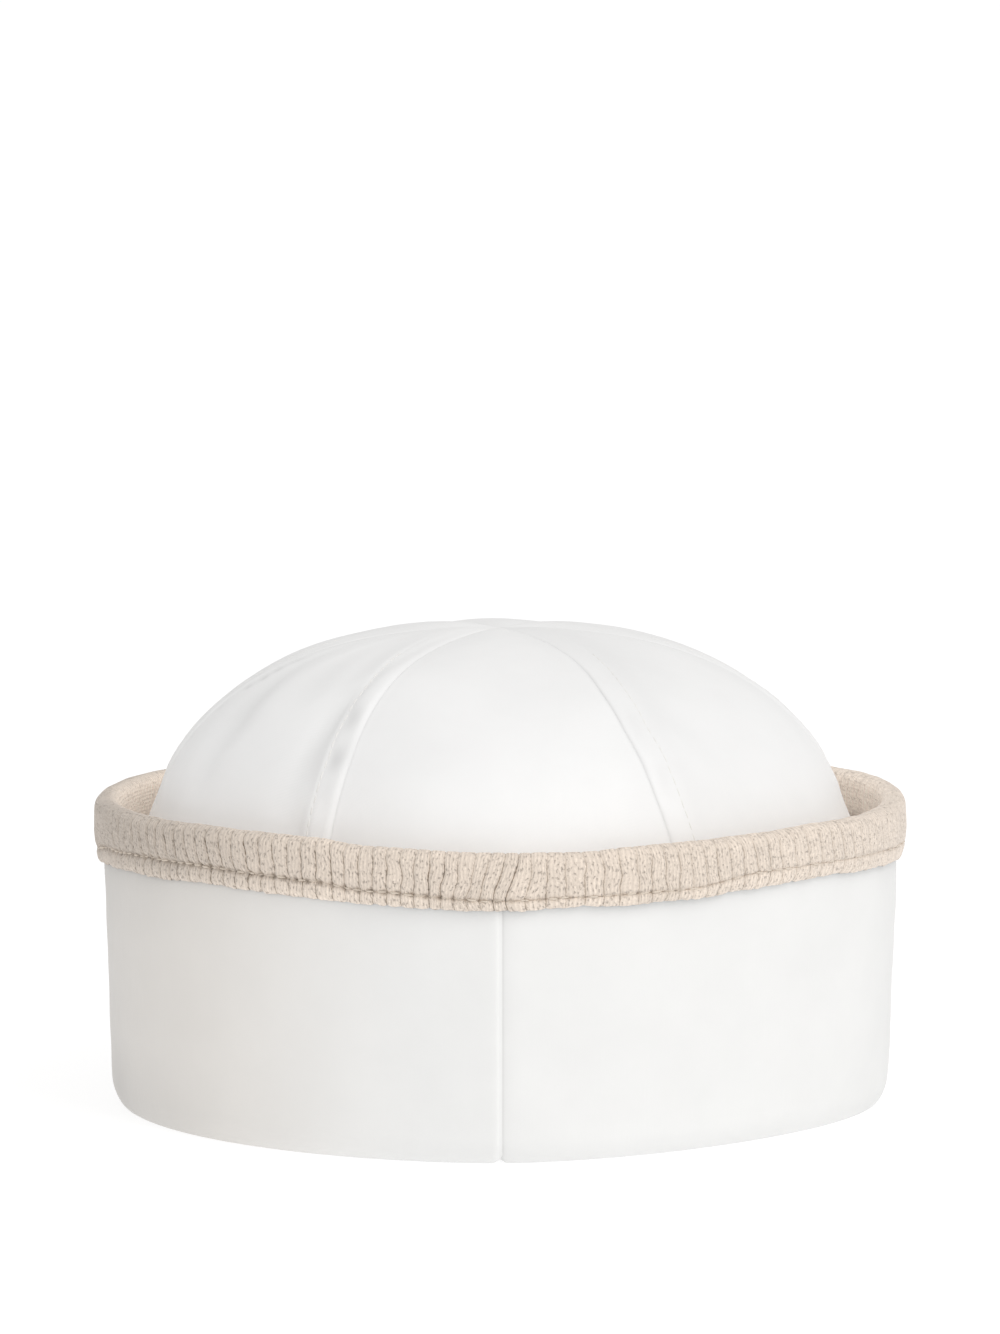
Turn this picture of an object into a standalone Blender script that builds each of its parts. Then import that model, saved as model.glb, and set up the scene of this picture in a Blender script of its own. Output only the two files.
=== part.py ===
"""Sailor cap standing on its turned-up cuff: six crown gores, two cuff halves and a knitted binding.

Metres, +Z up. The back of the cap faces -Y and the origin is the middle of the face it rests on.
Every wall is worked out from the head opening outwards, so each piece follows the one inside it.
"""

import math

import bpy
import numpy as np

# Driving dimensions
HEAD_WIDTH = 0.1747  # clear opening, side to side
HEAD_LENGTH = 0.1880  # clear opening, front to back
FACING_WALL = 0.0012  # the cuff cloth turned up inside the head opening
FACING_HEIGHT = 0.022
CROWN_WALL = 0.0015  # satin with its interlining
SIDE_RISE = 0.026  # straight side of the crown above the facing
DOME_RISE = 0.0690  # from the end of the straight side to the tip
DOME_SIDE = 2.14  # how full the dome's sides are: 2 is an ellipse, more stays upright for longer
DOME_TOP = 2.60  # how flat its top is: 2 is an ellipse, more is flatter
DOME_LEAN = 0.0004  # how far the tip sits to the left of the middle
CUFF_WALL = 0.0020  # two layers of satin and an interlining
RIM_HEIGHT = 0.0755  # top of the binding over the resting face
TRENCH_AT_FOOT = 0.0024  # clear space between crown and cuff, just over the fold
TRENCH_AT_RIM = 0.0032  # the same between crown and binding
BINDING_WALL = 0.0018  # ribbed knit
BINDING_DROP = 0.0142  # how far the binding reaches down outside the cuff
BINDING_INNER_DROP = 0.0122  # the same inside
LIP_HEIGHT = 0.0042  # from the binding's lower edge to its row of stitches
FOLD_RISE = 0.0062  # height over which the outer leg rounds into the fold
REST_WIDTH = 0.0030  # flat that the fold has where the cap stands on it
WELT_WIDTH = 0.0064  # seam allowance pressed to one side and topstitched
WELT_RISE = 0.0006  # what the two extra layers of that allowance add
WELT_SLOPE = 0.0008
GORE_FULLNESS = 0.0008  # how far the middle of a gore stands out of its seams
CUFF_SWELL = 0.0004  # soft waves of the cuff's cloth
TIP_RADIUS = 0.0008  # where the six gores meet
GAP = 0.0003  # between neighbouring pieces

# Facets
CUFF_COLUMNS = 26  # along one half of the cuff
GORE_MIDDLES = 5  # columns between the welts of a gore
DOME_ROWS = 11
FOLD_ROWS = 4
WIDEST_STEP = math.radians(9)  # the widest column of a gore

# Gores, as degrees round from the back towards the right side, and where seam allowances lie on them
# (start, end, allowance at the start, allowance at the end)
GORES = (
    (-27.7, 27.0, False, False),
    (27.0, 88.0, True, False),
    (88.0, 150.0, True, True),
    (150.0, 210.0, False, False),
    (210.0, 275.0, True, True),
    (275.0, 332.3, False, True),
)

# Plan outline: the share by which each back quarter is drawn in from an ellipse towards the side,
# which leaves the back a little pointed at its seam (left back, right back)
FOOT_POINTS = (0.06, 0.22)
RIM_POINTS = (0.12, 0.08)
POINT_POWER = 1.3

# The rim's height, the binding's outer drop and its lip, as shares of the named sizes round the cap
# (degrees from the back, rim, drop, lip)
RIM_ROWS = (
    (-150, 1.000, 1.00, 1.00),
    (-105, 1.006, 1.12, 1.40),
    (-63, 1.003, 1.15, 1.65),
    (-45, 1.010, 1.09, 1.40),
    (-30, 1.010, 1.05, 1.15),
    (-18, 0.992, 0.97, 0.80),
    (0, 0.984, 0.97, 0.62),
    (10, 0.982, 0.91, 0.58),
    (25, 0.996, 0.97, 0.62),
    (40, 1.003, 0.95, 1.00),
    (50, 1.008, 0.96, 0.92),
    (63, 1.003, 0.95, 0.95),
    (105, 1.017, 1.02, 1.00),
    (150, 1.000, 1.00, 1.00),
)

# Binding section, from its inner edge over the cuff's top edge and down to its outer edge: where
# each row lies between two levels, and how much of the knit's wall stands out there
# (from, to, share of the way, share of the wall)
INNER_ROWS = (
    ("inner edge", "shoulder", 0.0, 0.55),
    ("inner edge", "shoulder", 0.5, 1.00),
)
OUTER_ROWS = (
    ("shoulder", "stitches", 0.45, 1.12),
    ("shoulder", "stitches", 0.85, 1.00),
    ("stitches", "outer edge", 0.0, 0.72),
    ("stitches", "outer edge", 0.5, 1.00),
    ("stitches", "outer edge", 1.0, 0.55),
)
BINDING_TURNS = (180, 155, 130, 105, 75, 50, 25, 0)  # degrees over the cuff's edge
CORNER_TURN = math.radians(50)  # where the hollow of the binding turns over the cuff's edge

# Soft waves of the cuff: (how many round the cap, phase in radians, share of CUFF_SWELL)
SWELL_WAVES = (
    (5, 0.7, 1.0),
    (8, -1.1, 0.6),
)

# Rows of the walls, as shares of the height that they cover
CUFF_LEG_SHARES = (1.0, 0.62, 0.30, 0.10)
CROWN_SIDE_SHARES = (0.66, 0.33, 0.0)
WIDEST_WELT = 0.40  # share of a gore that one welt may take near the tip
WIDEST_SLOPE = 0.05

# Sizes that follow from those above
CHORD_SAG = HEAD_LENGTH / 2 * (1 - math.cos(WIDEST_STEP / 2))
SEAT_GAP = GAP + CHORD_SAG
CROWN_OUT = FACING_WALL + SEAT_GAP + CROWN_WALL
CUFF_FOOT_OUT = CROWN_OUT + TRENCH_AT_FOOT + CUFF_WALL
CUFF_RIM_OUT = CROWN_OUT + TRENCH_AT_RIM + BINDING_WALL + GAP + CUFF_WALL
FOLD_HALF = CUFF_FOOT_OUT / 2
CHANNEL = CUFF_FOOT_OUT - CUFF_WALL - FACING_WALL
SHOULDER = FACING_HEIGHT + SIDE_RISE
BINDING_RADIUS = CUFF_WALL / 2 + GAP + BINDING_WALL


def clear_scene():
    for obj in list(bpy.data.objects):
        bpy.data.objects.remove(obj, do_unlink=True)


def ease(share):
    """A smooth step from 0 to 1."""
    share = np.clip(share, 0, 1)
    return share * share * (3 - 2 * share)


def around(angle, column):
    """The value of one column of RIM_ROWS at these angles, eased from row to row round the cap."""
    rows = np.array(RIM_ROWS)
    rows = np.vstack([rows, rows[0] + np.array([360, 0, 0, 0])])
    turn = (np.degrees(angle) - rows[0, 0]) % 360 + rows[0, 0]
    before = np.clip(np.searchsorted(rows[:, 0], turn, side="right") - 1, 0, len(rows) - 2)
    start, end = rows[before], rows[before + 1]
    share = ease((turn - start[..., 0]) / (end[..., 0] - start[..., 0]))
    return start[..., column] + (end[..., column] - start[..., column]) * share


def rim_height(angle):
    return RIM_HEIGHT * around(angle, 1)


def plan_point(angle, height):
    """How far the plan is drawn in here: changes from foot to rim, and is nothing over the dome."""
    up = np.clip(height / RIM_HEIGHT, 0, 1)
    over = ease(2 * (height - RIM_HEIGHT) / DOME_RISE)
    left, right = (low + (high - low) * up for low, high in zip(FOOT_POINTS, RIM_POINTS))
    back = np.where(np.sin(angle) < 0, left, right) * (1 - over)
    return np.where(np.cos(angle) > 0, back, 0) * np.abs(np.sin(angle)) ** POINT_POWER


def ring(angle, height, out, shrink=1.0):
    """Points round the cap: the head opening moved out by a distance, then drawn in by a share."""
    x = shrink * (HEAD_WIDTH / 2 + out) * np.sin(angle)
    y = shrink * (HEAD_LENGTH / 2 + out) * -np.cos(angle) * (1 - plan_point(angle, height))
    return np.stack(np.broadcast_arrays(x, y, height), axis=-1)


def cuff_point(angle, height, inward):
    """A place on the cuff's outer leg, a distance in from its outer face."""
    lean = (CUFF_RIM_OUT - CUFF_FOOT_OUT) * np.sqrt(np.clip(height / RIM_HEIGHT, 0, None))
    wave = sum(share * np.sin(count * angle + phase) for count, phase, share in SWELL_WAVES)
    swell = CUFF_SWELL * wave * np.sin(np.pi * np.clip(height / RIM_HEIGHT, 0, 1)) ** 2
    return ring(angle, height, CUFF_FOOT_OUT + lean + swell - inward)


def closed_wall(name, outer, inner, material, is_ring=False):
    """A solid between two grids of points: rows run from the top down, columns round to the right."""
    rows, columns = outer.shape[:2]
    index = np.arange(rows * columns).reshape(rows, columns)
    if is_ring:
        index = np.hstack([index, index[:, :1]])
    far = index + rows * columns
    faces = [
        np.stack([index[:-1, :-1], index[1:, :-1], index[1:, 1:], index[:-1, 1:]], -1),
        np.stack([far[:-1, :-1], far[:-1, 1:], far[1:, 1:], far[1:, :-1]], -1),
        np.stack([far[0, :-1], index[0, :-1], index[0, 1:], far[0, 1:]], -1),
        np.stack([index[-1, :-1], far[-1, :-1], far[-1, 1:], index[-1, 1:]], -1),
    ]
    if not is_ring:
        faces.append(np.stack([far[:-1, 0], far[1:, 0], index[1:, 0], index[:-1, 0]], -1))
        faces.append(np.stack([index[:-1, -1], index[1:, -1], far[1:, -1], far[:-1, -1]], -1))
    points = np.concatenate([outer.reshape(-1, 3), inner.reshape(-1, 3)])
    faces = np.concatenate([block.reshape(-1, 4) for block in faces])
    mesh = bpy.data.meshes.new(name)
    mesh.from_pydata(points.tolist(), [], faces.tolist())
    mesh.update()
    mesh.shade_smooth()
    mesh.set_sharp_from_angle(angle=math.radians(40))
    mesh.materials.append(material)
    obj = bpy.data.objects.new(name, mesh)
    bpy.context.scene.collection.objects.link(obj)
    return obj


def cloth_material(name, colour, roughness, sheen):
    material = bpy.data.materials.new(name)
    material.use_nodes = True
    shader = material.node_tree.nodes["Principled BSDF"]
    shader.inputs["Base Color"].default_value = (*colour, 1.0)
    shader.inputs["Roughness"].default_value = roughness
    shader.inputs["Metallic"].default_value = 0.0
    shader.inputs["Sheen Weight"].default_value = sheen
    return material


def crown_satin():
    return cloth_material("white_satin_crown", (0.86, 0.85, 0.84), 0.50, 0.1)


def cuff_satin():
    return cloth_material("white_satin_cuff", (0.86, 0.85, 0.83), 0.50, 0.1)


def ribbed_knit():
    return cloth_material("beige_ribbed_knit", (0.66, 0.57, 0.49), 0.90, 0.3)


def dome_rows(wall):
    """Each row of the crown from the tip down: its share of the plan and its height."""
    width = HEAD_WIDTH / 2 + CROWN_OUT
    tip = math.acos((TIP_RADIUS / width) ** (DOME_TOP / 2))
    turn = np.linspace(tip, 0, DOME_ROWS)
    share = np.cos(turn) ** (2 / DOME_TOP)
    height = SHOULDER + (DOME_RISE - wall) * np.sin(turn) ** (2 / DOME_SIDE)
    sides = FOLD_HALF + (SHOULDER - FOLD_HALF) * np.array(CROWN_SIDE_SHARES)
    return np.append(share, np.ones(len(sides))), np.append(height, sides)


def gore_columns(width):
    """Shares across a gore of this width, closest at the two welts' slopes."""
    welt = np.minimum(WELT_WIDTH / width, WIDEST_WELT)
    slope = np.minimum(WELT_SLOPE / width, WIDEST_SLOPE)
    middle = np.linspace(0, 1, GORE_MIDDLES + 2)
    inner_start = welt + slope
    span = 1 - 2 * inner_start
    columns = [np.zeros_like(welt), welt]
    columns += [inner_start + span * share for share in middle]
    return np.stack(columns + [1 - welt, np.ones_like(welt)], -1)


def gore_face(start, end, allowances, wall):
    """One face of a gore: its outer face for no wall, or the one that lies a wall further in."""
    share, height = dome_rows(wall)
    radius = share * (HEAD_WIDTH / 2 + CROWN_OUT)
    trim = GAP / 2 / radius
    across = gore_columns(radius * (end - start))
    angle = start + trim[:, None] + (end - start - 2 * trim[:, None]) * across
    relief = np.zeros_like(angle)
    if not wall:
        above = ease((height - FACING_HEIGHT) / SIDE_RISE) * share
        relief += GORE_FULLNESS * np.sin(np.pi * across) * above[:, None]
        welt = WELT_RISE * ease(radius / WELT_WIDTH / 2)
        relief[:, :2] += welt[:, None] * allowances[0]
        relief[:, -2:] += welt[:, None] * allowances[1]
    height = height[:, None] + relief * (1 - share[:, None] ** 2)
    face = ring(angle, height, CROWN_OUT - wall + relief, share[:, None])
    face[..., 0] -= DOME_LEAN * np.clip((height - SHOULDER) / DOME_RISE, 0, 1)
    return face


def make_crown():
    material = crown_satin()
    panels = []
    for number, (start, end, *allowances) in enumerate(GORES, start=1):
        start, end = math.radians(start), math.radians(end)
        outer = gore_face(start, end, allowances, 0)
        inner = gore_face(start, end, allowances, CROWN_WALL)
        panels.append(closed_wall(f"crown_panel_{number}", outer, inner, material))
    return panels


def cuff_foot(angle, height, inward):
    """A place in the fold or the facing, a distance in from the fold's outer face."""
    return ring(angle, height, CUFF_FOOT_OUT - inward)


def cuff_section(angle):
    """The two faces of the cuff from its top edge down, round the fold and up to the facing's edge."""
    top = rim_height(angle) - BINDING_WALL - GAP
    level = np.zeros_like(angle)
    outer, inner = [], []
    for share in CUFF_LEG_SHARES:
        height = FOLD_RISE + (top - FOLD_RISE) * share
        outer.append(cuff_point(angle, height, 0))
        inner.append(cuff_point(angle, height, CUFF_WALL))
    channel_middle = CUFF_WALL + CHANNEL / 2
    for side, rise in ((-1, FOLD_RISE), (1, FOLD_HALF)):
        for turn in np.linspace(0, math.pi / 2, FOLD_ROWS)[::-side]:
            reach = REST_WIDTH / 2 + (FOLD_HALF - REST_WIDTH / 2) * math.cos(turn)
            floor = CHANNEL / 4 * (1 + math.cos(turn))
            low = level + rise * (1 - math.sin(turn))
            high = level + rise - (rise - CUFF_WALL) * math.sin(turn)
            outer.append(cuff_foot(angle, low, FOLD_HALF + side * reach))
            inner.append(cuff_foot(angle, high, channel_middle + side * floor))
    outer.append(cuff_foot(angle, level + FACING_HEIGHT, CUFF_FOOT_OUT))
    inner.append(cuff_foot(angle, level + FACING_HEIGHT, CUFF_FOOT_OUT - FACING_WALL))
    return np.stack(outer), np.stack(inner)


def make_cuff():
    material = cuff_satin()
    halves = []
    for name, side in (("cuff_right", 1), ("cuff_left", -1)):
        angle = np.linspace(0, math.pi, CUFF_COLUMNS + 1)[::side] * side
        outer, inner = cuff_section(angle)
        for face in (outer, inner):
            face[:, [0, -1], 0] = side * GAP / 2
        halves.append(closed_wall(name, outer, inner, material))
    return halves


def binding_leg(angle, levels, rows, side):
    """Rows of both faces on one leg of the binding: side is 1 inside the cuff and -1 outside it."""
    outer, inner = [], []
    hollow = CUFF_WALL / 2 + GAP
    for start, end, share, wall in rows:
        height = levels[start] + (levels[end] - levels[start]) * share
        outer.append(cuff_point(angle, height, CUFF_WALL / 2 + side * (hollow + BINDING_WALL * wall)))
        inner.append(cuff_point(angle, height, CUFF_WALL / 2 + side * hollow))
    return outer, inner


def binding_fold(angle, shoulder):
    """Rows of both faces over the cuff's edge: a half round outside and a square corner inside."""
    outer, inner = [], []
    hollow = CUFF_WALL / 2 + GAP
    for turn in np.radians(BINDING_TURNS):
        height = shoulder + BINDING_RADIUS * math.sin(turn)
        outer.append(cuff_point(angle, height, CUFF_WALL / 2 - BINDING_RADIUS * math.cos(turn)))
        up = min(1.0, math.sin(turn) / math.sin(CORNER_TURN))
        across = max(-1.0, min(1.0, math.cos(turn) / math.cos(CORNER_TURN)))
        height = shoulder + (BINDING_RADIUS - BINDING_WALL) * up
        inner.append(cuff_point(angle, height, CUFF_WALL / 2 - hollow * across))
    return outer, inner


def binding_section(angle):
    rim = rim_height(angle)
    edge = rim - BINDING_DROP * around(angle, 2)
    levels = {
        "inner edge": rim - BINDING_INNER_DROP,
        "shoulder": rim - BINDING_RADIUS,
        "stitches": edge + LIP_HEIGHT * around(angle, 3),
        "outer edge": edge,
    }
    blocks = (
        binding_leg(angle, levels, INNER_ROWS, 1),
        binding_fold(angle, levels["shoulder"]),
        binding_leg(angle, levels, OUTER_ROWS, -1),
    )
    outer, inner = (np.stack(sum(faces, [])) for faces in zip(*blocks))
    return outer, inner


def make_binding():
    angle = np.arange(2 * CUFF_COLUMNS) * math.pi / CUFF_COLUMNS
    outer, inner = binding_section(angle)
    return closed_wall("cuff_binding", outer, inner, ribbed_knit(), is_ring=True)


def main():
    clear_scene()
    cap = bpy.data.objects.new("sailor_cap", None)
    bpy.context.scene.collection.objects.link(cap)
    for piece in (*make_crown(), *make_cuff(), make_binding()):
        piece.parent = cap


if __name__ == "__main__":
    main()
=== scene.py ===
"""Sailor cap in off-white satin with a beige ribbed binding, standing on its turned-up cuff.

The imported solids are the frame. Every piece here is a finely worked wall that follows one of them,
from the same sizes: seams, stitching, puckers, ribs and weave are what this script adds.
Metres, +Z up. The back of the cap faces -Y, and angles run from the back towards the right side.
"""

import math

import bpy
import numpy as np
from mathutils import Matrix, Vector


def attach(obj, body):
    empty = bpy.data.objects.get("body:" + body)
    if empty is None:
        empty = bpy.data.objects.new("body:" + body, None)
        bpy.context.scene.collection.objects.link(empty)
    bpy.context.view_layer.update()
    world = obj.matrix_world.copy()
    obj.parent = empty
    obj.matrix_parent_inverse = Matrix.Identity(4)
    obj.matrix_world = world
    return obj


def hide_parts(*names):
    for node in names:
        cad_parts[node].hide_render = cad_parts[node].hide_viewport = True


bl_info = {
    "name": "Sailor Cap",
    "version": (1, 0, 0),
    "blender": (4, 5, 0),
    "location": "3D View > Sidebar > Sailor Cap",
    "description": "Builds the cloth, knit and stitching of a sailor cap over its packed solids",
    "category": "Object",
}

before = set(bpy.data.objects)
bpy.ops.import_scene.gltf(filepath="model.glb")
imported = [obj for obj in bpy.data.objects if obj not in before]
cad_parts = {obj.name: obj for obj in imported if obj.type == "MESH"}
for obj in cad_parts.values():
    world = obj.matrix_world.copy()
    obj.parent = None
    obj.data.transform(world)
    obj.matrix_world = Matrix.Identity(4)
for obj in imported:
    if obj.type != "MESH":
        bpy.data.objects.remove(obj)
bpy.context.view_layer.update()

# Form that the solids have too
HEAD_WIDTH = 0.1747
HEAD_LENGTH = 0.1880
CROWN_OUT = 0.003290  # from the head opening to the crown's outer face
CROWN_WALL = 0.0015
SHOULDER = 0.048  # top of the crown's straight side
FACING_HEIGHT = 0.022
DOME_RISE = 0.0690
DOME_SIDE = 2.14
DOME_TOP = 2.60
DOME_LEAN = 0.0004
CUFF_FOOT_OUT = 0.007690
CUFF_RIM_OUT = 0.010590
CUFF_WALL = 0.0020
FACING_WALL = 0.0012
RIM_HEIGHT = 0.0755
BINDING_WALL = 0.0018
BINDING_DROP = 0.0142
BINDING_INNER_DROP = 0.0122
LIP_HEIGHT = 0.0042
CUFF_SWELL = 0.0004
FOLD_RISE = 0.0062
REST_WIDTH = 0.0030
FOLD_HALF = CUFF_FOOT_OUT / 2
CHANNEL = CUFF_FOOT_OUT - CUFF_WALL - FACING_WALL
GAP = 0.0003
TIP_RADIUS = 0.0001  # the solids stop at 0.8 mm, and the cloth runs on to the tip
BINDING_RADIUS = CUFF_WALL / 2 + GAP + BINDING_WALL
# Each gore: its start and end in degrees from the back, and how far the welt on each side rises, as a share
GORES = (
    (-27.7, 27.0, 0, 0),
    (27.0, 88.0, 0.4, 0),
    (88.0, 150.0, 0.35, 0.7),
    (150.0, 210.0, 0, 0),
    (210.0, 275.0, 0.7, 0.4),
    (275.0, 332.3, 0, 1),
)
# How far a seam strays from its angle, as (height in millimetres, degrees), by the gore that ends at it
SEAM_BENDS = {
    1: ((66, 1.3), (74, 1.2), (84, 0.3), (92, -0.2), (99, -1.0), (107, -1.0), (113, 0.0)),
    6: ((84, -0.1), (92, -0.2), (98, -0.6), (105, -1.1), (109, -1.4), (113, -1.4), (116, 0.0)),
}
# The plan's back is drawn in beside its middle, by these shares at the foot and at the rim, left and right
FOOT_POINTS = (0.06, 0.22)
RIM_POINTS = (0.12, 0.08)
POINT_POWER = 1.3
# Round the rim: (degrees from the back, rim height, drop of the lower edge, height of the lip under the
# stitches), each as a share. The lower edge follows the photo more closely than the solids do: it is up to
# 2.5 mm higher on the left, and 1 mm lower at the far right
RIM_ROWS = (
    (-150, 1.000, 1.00, 1.00),
    (-105, 1.006, 1.13, 0.82),
    (-88, 1.005, 1.127, 0.74),
    (-73, 1.004, 1.02, 1.01),
    (-57, 1.004, 0.99, 1.11),
    (-45, 1.010, 0.97, 1.00),
    (-33, 1.010, 1.00, 0.99),
    (-27, 1.007, 1.01, 1.00),
    (-18, 0.992, 0.97, 0.80),
    (0, 0.984, 0.97, 0.62),
    (10, 0.982, 0.91, 0.58),
    (25, 0.996, 0.97, 0.62),
    (40, 1.003, 0.92, 0.95),
    (50, 1.008, 0.92, 0.87),
    (63, 1.003, 0.94, 0.93),
    (78, 1.009, 1.03, 0.93),
    (90, 1.014, 1.08, 0.75),
    (105, 1.017, 1.08, 0.80),
    (150, 1.000, 1.00, 1.00),
)
# The cuff's soft waves: (how many go round it, phase, share)
SWELL_WAVES = ((5, 0.7, 1.0), (8, -1.1, 0.6))

# The tables below are rows of (degrees from the back, value)
# Ribs counted round the binding from its left side
RIB_COUNTS = (
    (-70.1, 0), (-60.3, 4), (-51.4, 8), (-42.1, 12), (-32.6, 16), (-23.6, 20), (-15.5, 24), (-7.7, 28),
    (-3.8, 30), (1.9, 33), (6.3, 35), (14.1, 38), (18.9, 40), (25.0, 43), (33.0, 47), (41.9, 51),
    (50.1, 54), (58.1, 57), (289.9, 152),
)
JOIN_RIB = 33  # the binding's own ends meet at this one
# How far a rib's foot lies to the right of its head, as a turn in degrees
RIB_LEANS = (
    (-110, 0.4), (-60, 1.4), (-48, 1.3), (-38, 0.8), (-30, 0.2), (-14, 0.0), (-7, -0.6), (-2, -1.9),
    (2, -2.0), (7, 0.0), (18, 0.3), (30, 0.9), (50, 1.2), (58, 1.4), (110, 0.5),
)
# How deep the ribs are drawn, and how dark the painted shade in their furrows is, as a share
RIB_STRENGTHS = (
    (-180, 0.6), (-95, 0.15), (-76, 0.20), (-66, 0.60), (-56, 1.0), (-30, 0.95), (4, 0.9), (6, 0.75),
    (20, 0.62), (52, 0.65), (64, 0.30), (95, 0.30), (179, 0.6),
)
# How deep the row of stitches is drawn, and how dark its painted shade and the knit's flecks are, as a share
STITCH_SHADES = (
    (-110, 0.6), (-75, 1.0), (-30, 1.0), (-8, 0.75), (15, 0.5), (40, 0.25), (75, 0.15), (110, 0.6),
)
# How much painted shade darkens the knit's left side, as a share
KNIT_LEFT_SHADE = ((-150, 0), (-110, 0.8), (-70, 1), (-50, 0.75), (-25, 0), (179, 0))
CROWN_THREAD = 0.00034
BINDING_THREAD = 0.00058


def linear(code):
    """An sRGB hex colour as three linear numbers."""
    parts = [int(code[at : at + 2], 16) / 255 for at in (0, 2, 4)]
    return [v / 12.92 if v <= 0.04045 else ((v + 0.055) / 1.055) ** 2.4 for v in parts]


# ---- properties


def colour_property(name, description, code):
    return bpy.props.FloatVectorProperty(
        name=name, description=description, default=linear(code), size=3, subtype="COLOR", min=0, max=1
    )


def length_property(name, description, default, highest):
    return bpy.props.FloatProperty(
        name=name, description=description, default=default, min=0, max=highest, unit="LENGTH", precision=5
    )


class CapCrownSettings(bpy.types.PropertyGroup):
    satin: colour_property("Satin", "Colour of the crown's satin", "EEEEEE")
    welt_rise: length_property("Welt rise", "What the pressed seam allowance adds to the wall", 0.0006, 0.002)
    stitch_inset: length_property("Stitch inset", "From a seam to its row of topstitching", 0.0063, 0.012)
    stitch_length: length_property("Stitch length", "One stitch of the crown's topstitching", 0.0030, 0.008)
    pucker: length_property("Pucker", "Depth of the puckers along the topstitching", 0.00022, 0.001)


class CapCuffSettings(bpy.types.PropertyGroup):
    satin: colour_property("Satin", "Colour of the cuff's satin", "ECECEB")
    lap: length_property("Lap", "How far the left half stands over the right at the back seam", 0.00035, 0.001)
    wave: length_property("Wave", "Soft unevenness of the cuff's cloth", 0.00022, 0.001)


class CapBindingSettings(bpy.types.PropertyGroup):
    knit: colour_property("Knit", "Colour of the ribbed knit", "E6D8CA")
    # The furrow colour is painted shade, laid in the furrows between ribs and in the stitch pits
    furrow: colour_property("Furrow", "Colour in the furrows between ribs", "8F7E6C")
    thread: colour_property("Thread", "Colour of the stitching thread", "DFD2C3")
    rib_depth: length_property("Rib depth", "Depth of the furrows between ribs", 0.00042, 0.001)
    stitch_length: length_property("Stitch length", "One stitch along the binding's lower edge", 0.0034, 0.008)
    edge_wave: length_property("Edge wave", "Unevenness of the binding's lower edge", 0.00016, 0.001)


class CapStageSettings(bpy.types.PropertyGroup):
    key: bpy.props.FloatProperty(
        name="Key light", description="Power of the light at the right front", default=23.0, min=0, unit="POWER"
    )
    surround: bpy.props.FloatProperty(
        name="Surround", description="Brightness of the white studio", default=0.70, min=0
    )
    floor: colour_property("Floor", "Colour of the pale floor", "FFFFFF")


# ---- form


def ease(share):
    """A smooth step from 0 to 1."""
    share = np.clip(share, 0, 1)
    return share * share * (3 - 2 * share)


def bell(distance, width):
    """1 at no distance, falling off smoothly on both sides."""
    return np.exp(-((distance / width) ** 2))


def table_at(angle, rows, column=1, eased=False):
    """One column of a table, whose rows start with degrees from the back, at these angles: straight or
    eased from row to row, and from the last row on to the first."""
    rows = np.array(rows, float)
    rows = np.vstack([rows, rows[:1]])
    rows[-1, 0] += 360
    turn = (np.degrees(angle) - rows[0, 0]) % 360 + rows[0, 0]
    before = np.clip(np.searchsorted(rows[:, 0], turn, side="right") - 1, 0, len(rows) - 2)
    start, end = rows[before], rows[before + 1]
    share = (turn - start[..., 0]) / (end[..., 0] - start[..., 0])
    share = ease(share) if eased else share
    return start[..., column] + (end[..., column] - start[..., column]) * share


def around(angle, column):
    """One column of RIM_ROWS at these angles."""
    return table_at(angle, RIM_ROWS, column, eased=True)


def rim_height(angle):
    return RIM_HEIGHT * around(angle, 1)


def plan_point(angle, height):
    """How far the plan is drawn in here: changes from foot to rim, and is nothing over the dome."""
    up = np.clip(height / RIM_HEIGHT, 0, 1)
    over = ease(2 * (height - RIM_HEIGHT) / DOME_RISE)
    left, right = (low + (high - low) * up for low, high in zip(FOOT_POINTS, RIM_POINTS))
    back = np.where(np.sin(angle) < 0, left, right) * (1 - over)
    return np.where(np.cos(angle) > 0, back, 0) * np.abs(np.sin(angle)) ** POINT_POWER


def ring(angle, height, out, shrink=1.0):
    """Points round the cap: the head opening moved out by a distance, then drawn in by a share."""
    x = shrink * (HEAD_WIDTH / 2 + out) * np.sin(angle)
    y = shrink * (HEAD_LENGTH / 2 + out) * -np.cos(angle) * (1 - plan_point(angle, height))
    return np.stack(np.broadcast_arrays(x, y, height), axis=-1)


def cuff_point(angle, height, inward):
    """A place on the cuff's outer leg: out grows with the root of the height, plus soft waves round it."""
    lean = (CUFF_RIM_OUT - CUFF_FOOT_OUT) * np.sqrt(np.clip(height / RIM_HEIGHT, 0, None))
    wave = sum(share * np.sin(count * angle + phase) for count, phase, share in SWELL_WAVES)
    swell = CUFF_SWELL * wave * np.sin(np.pi * np.clip(height / RIM_HEIGHT, 0, 1)) ** 2
    return ring(angle, height, CUFF_FOOT_OUT + lean + swell - inward)


def ripple(across, along, size, seed):
    """Soft unevenness from -1 to 1: six waves of about this size, running in mixed directions."""
    chance = np.random.RandomState(seed)
    total = np.zeros(np.broadcast(across, along).shape)
    for turn, phase, grow in chance.rand(6, 3):
        turn *= np.pi
        way = across * np.cos(turn) + along * np.sin(turn)
        total += np.sin(2 * np.pi * (way * (0.6 + 0.8 * grow) / size + phase))
    return total / 3.2


def normals_of(points, closed_round=False):
    """Outward unit normals of a grid whose rows run down and whose columns run to the right."""
    down = np.gradient(points, axis=0)
    if closed_round:
        wide = np.concatenate([points[:, -1:], points, points[:, :1]], axis=1)
        right = (wide[:, 2:] - wide[:, :-2]) / 2
    else:
        right = np.gradient(points, axis=1)
    normal = np.cross(down, right)
    return normal / np.maximum(np.linalg.norm(normal, axis=-1, keepdims=True), 1e-12)


def lengths_down(points):
    """How far each place of a grid is from the first row, along its column."""
    steps = np.linalg.norm(np.diff(points, axis=0), axis=-1)
    return np.concatenate([np.zeros((1, points.shape[1])), np.cumsum(steps, axis=0)])


# ---- meshes


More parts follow.
